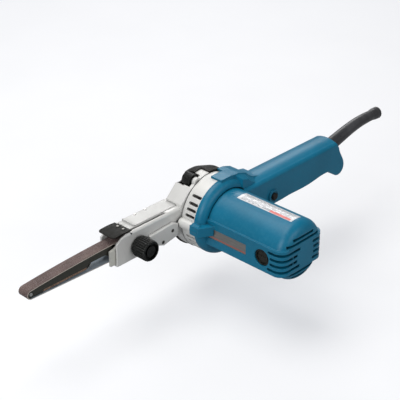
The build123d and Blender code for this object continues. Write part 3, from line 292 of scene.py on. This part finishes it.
def dark_sheet(name, base, rub, rough, metal, spec=0.5):
    """Blackened steel: mottled oxide with long slide marks along X and bare edges."""
    mat = Material(name)
    edge = mat.edge(0.0005, samples=4)
    slide = mat.noise(detail=4.0, rough=0.65, stretch=(40, 900, 900))
    mottle = mat.noise(scale=260.0, detail=5.0, rough=0.65)
    fine = mat.noise(scale=2600.0, detail=2.0, rough=0.6)
    mat.color = shade(base, 0.75)
    mat.layer(base, mottle, span=(0.35, 0.65))
    mat.layer(rub, slide, span=(0.55, 0.75), amount=0.28)
    mat.layer(rub, edge, amount=0.45)
    skin = mat.remap(mat.add(slide, mottle), (0.7, 1.3), to=(rough - 0.08, rough + 0.16))
    mat.bump(mat.add(fine, slide), strength=0.2, depth=0.00004)
    mat.surface(skin, metal, spec=spec)


# ------------------------------------------------------------------ single materials
def lamination():
    """Laminated core: thin sheets stacked along Y."""
    base = (0.42, 0.42, 0.43)
    mat = Material("lamination")
    sheets = mat.wave("BANDS", "Y", scale=125.6, Distortion=0.2)
    oxide = mat.noise(scale=220.0, detail=4.0, rough=0.6)
    mat.color = shade(base, 0.45)
    mat.layer(base, sheets, span=(0.2, 0.8))
    mat.layer((0.16, 0.09, 0.05), oxide, span=(0.5, 0.8), amount=0.5)
    mat.bump(sheets, strength=0.4, depth=0.0001)
    mat.surface(mat.remap(oxide, (0.3, 0.7), to=(0.35, 0.6)), metal=0.85)


def copper():
    """Enamelled copper wire in bundles."""
    base = (0.55, 0.22, 0.09)
    mat = Material("copper")
    wires = mat.wave("RINGS", "Y", scale=420.0, Distortion=1.2, Detail=1.0)
    varnish = mat.noise(scale=90.0, rough=0.6)
    mat.color = shade(base, 0.35)
    mat.layer(base, wires)
    mat.layer((0.20, 0.06, 0.02), varnish, span=(0.45, 0.75), amount=0.6)
    mat.bump(wires, strength=0.6, depth=0.0003)
    mat.surface(mat.remap(varnish, (0.3, 0.7), to=(0.22, 0.42)), metal=0.6, coat=0.5)


def grit_belt():
    """Coated abrasive: packed grains with pale and dark sparkles and loaded streaks."""
    mat = Material("grit_belt")
    grains = mat.cells(2600.0)
    sparkle = mat.cell_values(4300.0)
    fine = mat.noise(scale=5200.0, detail=2.0, rough=0.6)
    drift = mat.noise(scale=60.0, detail=4.0, rough=0.6)
    streaks = mat.noise(detail=4.0, rough=0.65, stretch=(30, 260, 30))
    mat.color = (0.205, 0.142, 0.130)
    mat.layer((0.070, 0.044, 0.041), grains, span=(0.05, 0.55))
    mat.layer((0.26, 0.175, 0.155), drift, span=(0.35, 0.65), amount=0.30)
    mat.layer((0.50, 0.43, 0.42), sparkle, span=(0.90, 0.95), amount=0.70)
    mat.layer((0.035, 0.022, 0.022), sparkle, span=(0.10, 0.04), amount=0.8)
    mat.layer((0.33, 0.25, 0.20), streaks, span=(0.55, 0.80), amount=0.30)
    height = mat.add(mat.remap(grains, (0.0, 0.6), to=(1.0, 0.0)), mat.times(fine, 0.6))
    mat.bump(height, strength=0.75, depth=0.00022)
    mat.surface(mat.remap(sparkle, (0.0, 1.0), to=(0.50, 0.88)), spec=0.45)


def belt_backing():
    """Cloth on the inside of the belt: fine grey-blue twill."""
    mat = Material("belt_backing")
    diagonal = mat.wave("BANDS", "DIAGONAL", scale=620.0, stretch=(1, 1, 0.2))
    weave = mat.times(diagonal, mat.wave("BANDS", "X", scale=480.0))
    drift = mat.noise(scale=70.0, rough=0.6)
    mat.color = (0.17, 0.22, 0.27)
    mat.layer((0.34, 0.41, 0.47), weave, span=(0.1, 0.7))
    mat.layer((0.46, 0.50, 0.53), drift, span=(0.45, 0.75), amount=0.35)
    mat.bump(weave, strength=0.5, depth=0.0001)
    mat.surface(mat.remap(drift, (0.3, 0.7), to=(0.55, 0.75)), sheen=0.2)


def belt_cut_edge():
    """Cut edge of the belt: pale frayed threads."""
    mat = Material("belt_cut_edge")
    threads = mat.noise(rough=0.7, stretch=(2600, 800, 2600))
    mat.color = (0.42, 0.36, 0.30)
    mat.layer((0.78, 0.70, 0.62), threads, span=(0.3, 0.7))
    mat.bump(threads, strength=0.8, depth=0.0002)
    mat.surface(rough=0.75, sheen=0.2)


def shoe_cork():
    """Cork: random brown cells under a dark speckle."""
    mat = Material("shoe_cork")
    ramp = mat.node("ShaderNodeValToRGB", {"Fac": mat.cell_values(900.0)})
    stops = ramp.color_ramp.elements
    stops.new(0.5)
    browns = ((0.10, 0.055, 0.035), (0.25, 0.15, 0.095), (0.38, 0.25, 0.17))
    for stop, brown in zip(stops, browns):
        stop.color = (*brown, 1)
    speckle = mat.noise(scale=1800.0, rough=0.7)
    mat.color = ramp.outputs["Color"]
    mat.layer((0.16, 0.10, 0.07), speckle, span=(0.4, 0.7), amount=0.5)
    mat.bump(speckle, strength=0.5, depth=0.00015)
    mat.surface(rough=0.72)


def badge():
    """Dark brushed plate with one thin red line at a fixed height."""
    mat = Material("badge")
    z = mat.axis("Z")
    brush = mat.noise(rough=0.6, stretch=(2600, 90, 2600))
    mat.color = (0.150, 0.146, 0.138)
    mat.layer((0.225, 0.220, 0.210), brush, span=(0.3, 0.7))
    line_bottom = mat.remap(z, (-0.00722, -0.00712))
    line_top = mat.remap(z, (-0.00652, -0.00642), to=(1.0, 0.0))
    mat.layer((0.62, 0.06, 0.035), mat.times(line_bottom, line_top))
    mat.layer((0.35, 0.35, 0.35), mat.edge(0.0003, samples=4), amount=0.5)
    mat.bump(brush, strength=0.12, depth=0.00002)
    mat.surface(mat.remap(brush, (0.3, 0.7), to=(0.30, 0.42)), metal=0.35, coat=0.35)


def label():
    """White film round the motor axis: broken grey bars and one red block."""
    radius = 0.0321
    start_angle = math.radians(101)
    row_pitch = 0.00145
    piece_length = 0.0026
    mat = Material("label")
    y = mat.axis("Y")
    x = mat.axis("X")
    angle = mat.math("ARCTAN2", mat.axis("Z"), x)
    across = mat.times(mat.math("SUBTRACT", start_angle, angle), radius)  # length round the film
    in_row = mat.math("FRACT", mat.math("DIVIDE", across, row_pitch))
    bars = mat.times(mat.above(in_row, 0.22), mat.below(in_row, 0.72))
    row = mat.math("FLOOR", mat.math("DIVIDE", across, row_pitch))

    # One random value per row and piece leaves some pieces of the bars out
    piece = mat.math("FLOOR", mat.math("DIVIDE", y, piece_length))
    seed = mat.node("ShaderNodeCombineXYZ", {0: mat.times(piece, 0.37), 1: mat.times(row, 1.9)})
    chance = mat.node("ShaderNodeTexWhiteNoise", {"Vector": seed.outputs[0]},
                      noise_dimensions="2D")
    printed = mat.above(chance.outputs["Value"], 0.22)

    ink_along = mat.times(mat.below(y, -0.0605), mat.above(y, -0.1235))
    ink_across = mat.times(mat.above(across, 0.0014), mat.below(across, 0.0125))
    ink = mat.times(mat.times(bars, printed), mat.times(ink_along, ink_across))
    block_along = mat.times(mat.below(y, -0.0985), mat.above(y, -0.1245))
    block_across = mat.times(mat.above(across, 0.0004), mat.below(across, 0.0036))
    block = mat.times(block_along, block_across)

    fine = mat.noise(scale=900.0, rough=0.6)
    mat.color = (0.62, 0.635, 0.66)
    mat.layer((0.70, 0.705, 0.72), fine, span=(0.3, 0.7))
    mat.layer((0.12, 0.13, 0.15), ink, amount=0.88)
    mat.layer((0.80, 0.13, 0.11), block, amount=0.85)
    mat.bump(fine, strength=0.1, depth=0.00002)
    mat.surface(mat.remap(fine, (0.3, 0.7), to=(0.28, 0.40)), coat=0.4)


# ------------------------------------------------------------------ material list
# The reach given to blue_housing, alloy_casting and black_cap paints shade into their slots and
# holes.
moulded("blue_housing", (0.001, 0.162, 0.285), (0.07, 0.34, 0.49), rough=0.37, wear=0.30,
        spec=0.36, slot_shade_reach=0.0045)
cast("alloy_casting", (0.74, 0.735, 0.71), rough=0.40, metal=0.18, slot_shade_reach=0.004)
cast("alloy_cover", (0.57, 0.568, 0.553), rough=0.42, metal=0.15, grain=2600.0,
     worn=(0.72, 0.72, 0.71))
moulded("black_plastic", (0.011, 0.0105, 0.009), (0.06, 0.057, 0.05), rough=0.44,
        grain=1800.0, spec=0.22)
moulded("black_knob", (0.0045, 0.005, 0.0045), (0.13, 0.135, 0.13), rough=0.30,
        grain=2200.0, wear=0.55, bevel=0.0004, spec=0.26)
dark_sheet("black_steel", (0.0075, 0.0072, 0.005), (0.045, 0.043, 0.036), rough=0.42,
           metal=0.0, spec=0.12)
dark_sheet("arm_steel", (0.045, 0.045, 0.036), (0.17, 0.165, 0.145), rough=0.46,
           metal=0.1, spec=0.35)
lined_metal("bright_steel", (0.62, 0.62, 0.61), rough=0.26, lines=LINES_Y)
lined_metal("screw_steel", (0.58, 0.57, 0.55), rough=0.32, lines=RINGS_Y)
dark_sheet("dark_screw", (0.05, 0.048, 0.045), (0.30, 0.29, 0.27), rough=0.4, metal=0.6)
shoe_cork()
cast("holder_casting", (0.68, 0.67, 0.61), rough=0.5, metal=0.35, grain=1900.0)
lined_metal("bearing_steel", (0.66, 0.66, 0.66), rough=0.2, lines=RINGS_Y)
lamination()
copper()
lined_metal("commutator_copper", (0.72, 0.34, 0.16), rough=0.25, lines=RINGS_Y,
            stain=(0.20, 0.10, 0.06))
lined_metal("brass", (0.72, 0.52, 0.22), rough=0.3, lines=LINES_X, stain=(0.30, 0.20, 0.08))
moulded("carbon", (0.035, 0.035, 0.037), (0.12, 0.12, 0.12), rough=0.5, grain=3000.0)
moulded("fan_plastic", (0.022, 0.022, 0.023), (0.09, 0.09, 0.09), rough=0.5)
badge()
label()
rubber("rubber_guard", (0.026, 0.026, 0.029), rough=0.34, light=(0.13, 0.13, 0.14))
rubber("cord_rubber", (0.018, 0.018, 0.019), rough=0.5)
moulded("black_cap", (0.016, 0.016, 0.012), (0.10, 0.095, 0.08), rough=0.30, grain=3000.0,
        wear=0.4, bevel=0.0004, spec=0.3, slot_shade_reach=0.003)
grit_belt()
belt_backing()
belt_cut_edge()
dark_sheet("link_steel", (0.010, 0.010, 0.009), (0.10, 0.10, 0.09), rough=0.45, metal=0.0,
           spec=0.25)
dark_sheet("roller_pin_steel", (0.32, 0.31, 0.29), (0.62, 0.61, 0.58), rough=0.35, metal=0.7)

# Pieces that look different from the rest of their material slot
OWN_MATERIAL = {"release_link": "link_steel", "lever_rivets": "roller_pin_steel"}

for name, piece in NODES.items():
    piece.data.materials.clear()
    piece.data.materials.append(MATERIALS[OWN_MATERIAL.get(name) or SLOT_OF[name]])


# ------------------------------------------------------------------ object helpers
def link_object(name, data):
    made = bpy.data.objects.new(name, data)
    bpy.context.scene.collection.objects.link(made)
    return made


def mesh_object(name, bm, materials):
    mesh = bpy.data.meshes.new(name)
    bm.to_mesh(mesh)
    bm.free()
    for material in materials:
        mesh.materials.append(MATERIALS[material])
    return link_object(name, mesh)


def stand_in(made, node, body):
    """Let a new object take a CAD piece's place on a moving body."""
    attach(made, body)
    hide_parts(node)


# node: (body, joint, axis, share of the piece kept, share of the box where the fixed end is)
SPRINGS = {
    "tension_spring": ("holder", "blade_slide", (1, 0, 0), 0.62, 1.0),
    "trigger_spring": ("motor", "trigger_press", (0, 0, 1), 0.60, 1.0),
    "lock_spring": ("motor", "lock_button_press", (0, 1, 0), 0.10, 1.0),
}

# ------------------------------------------------------------------ abrasive belt
# A closed strip in the XZ plane: over a small nose at -X and the drive roller on the motor axis.
NOSE = (-0.2282, -0.0005)
ROLLER = (0.0, 0.0)
NOSE_RADIUS = 0.00495            # to the belt's outer line
ROLLER_RADIUS = 0.01295
BELT_INSET = 0.0009              # outer line to inner line
BOW_SLOPE = math.radians(5.1)    # slope of the bowed upper run where it leaves the nose
BOW_END_X = -0.137               # the upper run is straight from here to the roller
GRIT_HEIGHT = 0.00086            # both heights are measured from the inner line
CLOTH_HEIGHT = 0.00002
EDGE_DROP = 0.00010              # how much lower the grit lies at the cut edges
BELT_Y = (-0.0065, -0.0062, -0.003, 0.0, 0.003, 0.0062, 0.0065)
GRIT, CLOTH, CUT = range(3)      # the strip's material slots


def on_circle(centre, radius, angle):
    return centre[0] + radius * math.cos(angle), centre[1] + radius * math.sin(angle)


def arc(centre, radius, start, end, steps):
    angles = [start + (end - start) * k / steps for k in range(steps)]
    return [(*on_circle(centre, radius, a), math.cos(a), math.sin(a)) for a in angles]


def straight(first, last, facing, steps):
    return [(first[0] + (last[0] - first[0]) * k / steps,
             first[1] + (last[1] - first[1]) * k / steps,
             math.cos(facing), math.sin(facing)) for k in range(steps)]


def belt_path():
    """Inner line of the belt as (x, z, outward x, outward z), every joint tangent."""
    nose_x, nose_z = NOSE
    start_x = nose_x - NOSE_RADIUS * math.sin(BOW_SLOPE)
    start_z = nose_z + NOSE_RADIUS * math.cos(BOW_SLOPE)

    # Halve the range of slopes until the bow's end meets the roller's tangent
    low, high = -0.05, BOW_SLOPE
    for _ in range(80):
        slope = 0.5 * (low + high)
        bow_z = start_z + math.tan((BOW_SLOPE + slope) / 2) * (BOW_END_X - start_x)
        if bow_z - ROLLER_RADIUS / math.cos(slope) - BOW_END_X * math.tan(slope) < 0:
            low = slope
        else:
            high = slope
    slope = 0.5 * (low + high)

    bow_radius = (BOW_END_X - start_x) / (math.sin(BOW_SLOPE) - math.sin(slope))
    bow_centre = (nose_x + (bow_radius - NOSE_RADIUS) * math.sin(BOW_SLOPE),
                  nose_z - (bow_radius - NOSE_RADIUS) * math.cos(BOW_SLOPE))
    bow_inner = bow_radius - BELT_INSET
    nose_inner = NOSE_RADIUS - BELT_INSET
    roller_inner = ROLLER_RADIUS - BELT_INSET
    bow_start = math.pi / 2 + BOW_SLOPE
    upper = math.pi / 2 + slope      # outward direction of the upper straight
    lower = math.atan2(nose_z, nose_x) + math.acos(
        (ROLLER_RADIUS - NOSE_RADIUS) / math.hypot(nose_x, nose_z))
    return (
        arc(bow_centre, bow_inner, bow_start, upper, 32)
        + straight(on_circle(bow_centre, bow_inner, upper),
                   on_circle(ROLLER, roller_inner, upper), upper, 24)
        + arc(ROLLER, roller_inner, upper, lower, 44)
        + straight(on_circle(ROLLER, roller_inner, lower),
                   on_circle(NOSE, nose_inner, lower), lower, 48)
        + arc(NOSE, nose_inner, lower + 2 * math.pi, bow_start, 26))


def make_belt():
    bm = bmesh.new()

    def vertex(station, y, height):
        x, z, out_x, out_z = station
        return bm.verts.new(Vector((x + out_x * height, y, z + out_z * height)) - ORIGIN)

    def face(corners, slot):
        made = bm.faces.new(corners)
        made.material_index = slot
        made.smooth = slot != CUT

    rings = []
    for station in belt_path():
        outer, inner = [], []
        for y in BELT_Y:
            drop = EDGE_DROP if abs(y) > 0.0064 else 0.0
            outer.append(vertex(station, y, GRIT_HEIGHT - drop))
            inner.append(vertex(station, y, CLOTH_HEIGHT))
        rings.append((outer, inner))
    for (out1, in1), (out2, in2) in zip(rings, rings[1:] + rings[:1]):
        for j in range(len(BELT_Y) - 1):
            face((out1[j], out2[j], out2[j + 1], out1[j + 1]), GRIT)
            face((in1[j], in1[j + 1], in2[j + 1], in2[j]), CLOTH)
        face((out1[0], in1[0], in2[0], out2[0]), CUT)
        face((out1[-1], out2[-1], in2[-1], in1[-1]), CUT)
    bmesh.ops.recalc_face_normals(bm, faces=bm.faces)
    belt = mesh_object("sanding_belt_strip", bm, ("grit_belt", "belt_backing", "belt_cut_edge"))
    stand_in(belt, "abrasive_belt", "arm")


make_belt()

# ------------------------------------------------------------------ tracking knob
RIBS = 28
STEPS_PER_RIB = 8
RIB_DEPTH = 0.00085
HUB_INSET = 0.0006      # the flat centre lies this far behind the -Y face
RECESS_DEPTH = 0.0036


def make_knob():
    """Round ribbed knob with a ring-shaped recess round a flat centre in its -Y face."""
    low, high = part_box("tracking_knob")
    centre = (0.5 * (low[0] + high[0]), 0.5 * (low[2] + high[2]))
    radius = 0.5 * min(high[0] - low[0], high[2] - low[2]) - 0.00001
    front, back = low[1], high[1]
    steps = RIBS * STEPS_PER_RIB
    profile = [  # radius, y, rib depth
        (radius - 0.0011, back, 0.0),
        (radius - 0.0009, back - 0.0005, 0.0),
        (radius, back - 0.0012, RIB_DEPTH),
        (radius, front + 0.0016, RIB_DEPTH),
        (radius - 0.0007, front + 0.0006, 0.0),
        (radius - 0.0013, front, 0.0),
        (0.0088, front, 0.0),
        (0.0087, front + RECESS_DEPTH, 0.0),
        (0.0057, front + RECESS_DEPTH, 0.0),
        (0.0056, front + HUB_INSET, 0.0),
    ]
    bm = bmesh.new()
    rings = []
    for ring_radius, y, depth in profile:
        ring = []
        for k in range(steps):
            angle = 2 * math.pi * k / steps
            groove = depth * (0.5 - 0.5 * math.cos(RIBS * angle)) ** 0.8
            x, z = on_circle(centre, ring_radius - groove, angle)
            ring.append(bm.verts.new((x, y, z)))
        rings.append(ring)
    for ring, following in zip(rings, rings[1:]):
        for k in range(steps):
            after = (k + 1) % steps
            bm.faces.new((ring[k], ring[after], following[after], following[k]))
    for ring, y in ((rings[0], back), (rings[-1], front + HUB_INSET)):
        middle = bm.verts.new((centre[0], y, centre[1]))
        for k in range(steps):
            bm.faces.new((middle, ring[k], ring[(k + 1) % steps]))
    bmesh.ops.recalc_face_normals(bm, faces=bm.faces)
    stand_in(mesh_object("ribbed_knob", bm, ("black_knob",)), "tracking_knob", "tracking")


make_knob()


# ------------------------------------------------------------------ coil springs
def soft_spring(node, body, joint, axis, keep, share):
    """A copy of the coil put on its body in place of the CAD piece; it keeps its length as the
    joint moves.
    """
    source = NODES[node]
    coil = link_object(node + "_coil", source.data.copy())
    coil.matrix_world = source.matrix_world.copy()
    bpy.context.view_layer.update()
    stand_in(coil, node, body)
    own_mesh(coil)


for node, settings in SPRINGS.items():
    soft_spring(node, *settings)

# ------------------------------------------------------------------ stage
FLOOR_Z = -0.0895       # low enough for the arm to swing down over it
FLOOR_RADIUS = 9.0
FLOOR_CORNERS = 48
BACKDROP = (0.95, 0.96, 1.0)
BACKDROP_GLOW = 0.90


def floor_material():
    """Grey paper near the object, running out into the pale backdrop."""
    mat = Material("studio_floor")
    drift = mat.noise(scale=6.0, detail=2.0)
    seen = mat.node("ShaderNodeLightPath").outputs["Is Camera Ray"]
    mat.color = (0.52, 0.522, 0.526)
    mat.layer((0.54, 0.542, 0.545), drift, span=(0.3, 0.7))
    distance = mat.node("ShaderNodeVectorMath", {0: mat.coord}, operation="LENGTH")
    far = mat.remap(distance.outputs["Value"], (0.55, 2.2))
    mat.layer((0.0, 0.0, 0.0), far)
    mat.color = mat.mix(seen, (0.36, 0.37, 0.38), mat.color)
    mat.surface(rough=0.9, spec=0.0)
    glow = mat.times(seen, mat.remap(far, (0.0, 1.0), to=(0.46, BACKDROP_GLOW)))
    feed(mat.shader.inputs["Emission Color"], BACKDROP)
    feed(mat.shader.inputs["Emission Strength"], glow)


def make_floor():
    floor_material()
    bm = bmesh.new()
    corners = []
    for k in range(FLOOR_CORNERS):
        x, y = on_circle((0.0, 0.0), FLOOR_RADIUS, 2 * math.pi * k / FLOOR_CORNERS)
        corners.append(bm.verts.new(Vector((x, y, FLOOR_Z)) - ORIGIN))
    bm.faces.new(corners)
    mesh_object("studio_floor", bm, ("studio_floor",))


make_floor()


def area_light(name, place, target, size, power, color=(1, 1, 1)):
    light = bpy.data.lights.new(name, "AREA")
    light.shape = "RECTANGLE"
    light.size, light.size_y = size
    light.energy = power
    light.color = color
    lamp = link_object(name, light)
    lamp.location = Vector(place) - ORIGIN
    aim = Vector(target) - Vector(place)
    lamp.rotation_euler = aim.to_track_quat("-Z", "Y").to_euler()


area_light("key_top", place=(-0.15, 0.35, 1.25), target=(0.0, -0.02, 0.0), size=(1.1, 0.8),
           power=10.5, color=(1.0, 0.99, 0.97))
area_light("left_fill", place=(-1.35, -0.25, 0.75), target=(-0.05, -0.03, 0.0),
           size=(0.9, 0.9), power=10.5, color=(0.97, 0.985, 1.0))
area_light("front_fill", place=(0.15, -1.5, 0.7), target=(0.0, -0.05, 0.0), size=(1.2, 0.7),
           power=6.0, color=(1.0, 0.99, 0.98))
area_light("back_strip", place=(0.95, 0.95, 0.8), target=(0.05, 0.0, 0.02), size=(0.9, 0.4),
           power=5.5)


def make_world():
    """Pale behind the object, dimmer as a light so that shaded sides keep their depth."""
    world = bpy.data.worlds.new("studio")
    bpy.context.scene.world = world
    world.use_nodes = True
    nodes = world.node_tree.nodes
    background = nodes.get("Background")
    seen = nodes.new("ShaderNodeLightPath")
    level = nodes.new("ShaderNodeMapRange")
    feed(background.inputs["Color"], BACKDROP)
    feed(level.inputs["To Min"], 0.22)
    feed(level.inputs["To Max"], BACKDROP_GLOW)
    feed(level.inputs["Value"], seen.outputs["Is Camera Ray"])
    feed(background.inputs["Strength"], level.outputs["Result"])


def make_camera():
    lens = bpy.data.cameras.new("camera")
    lens.lens = 97.01
    lens.sensor_width = 36.0
    lens.clip_start = 0.02
    camera = link_object("camera", lens)
    camera.location = Vector((-0.71375, -0.68151, 0.5472)) - ORIGIN
    camera.rotation_euler = (math.radians(61.21), 0.0, math.radians(-46.34))
    bpy.context.scene.camera = camera


make_world()
make_camera()
bpy.context.scene.view_settings.view_transform = "Standard"
bpy.context.scene.view_settings.look = "None"
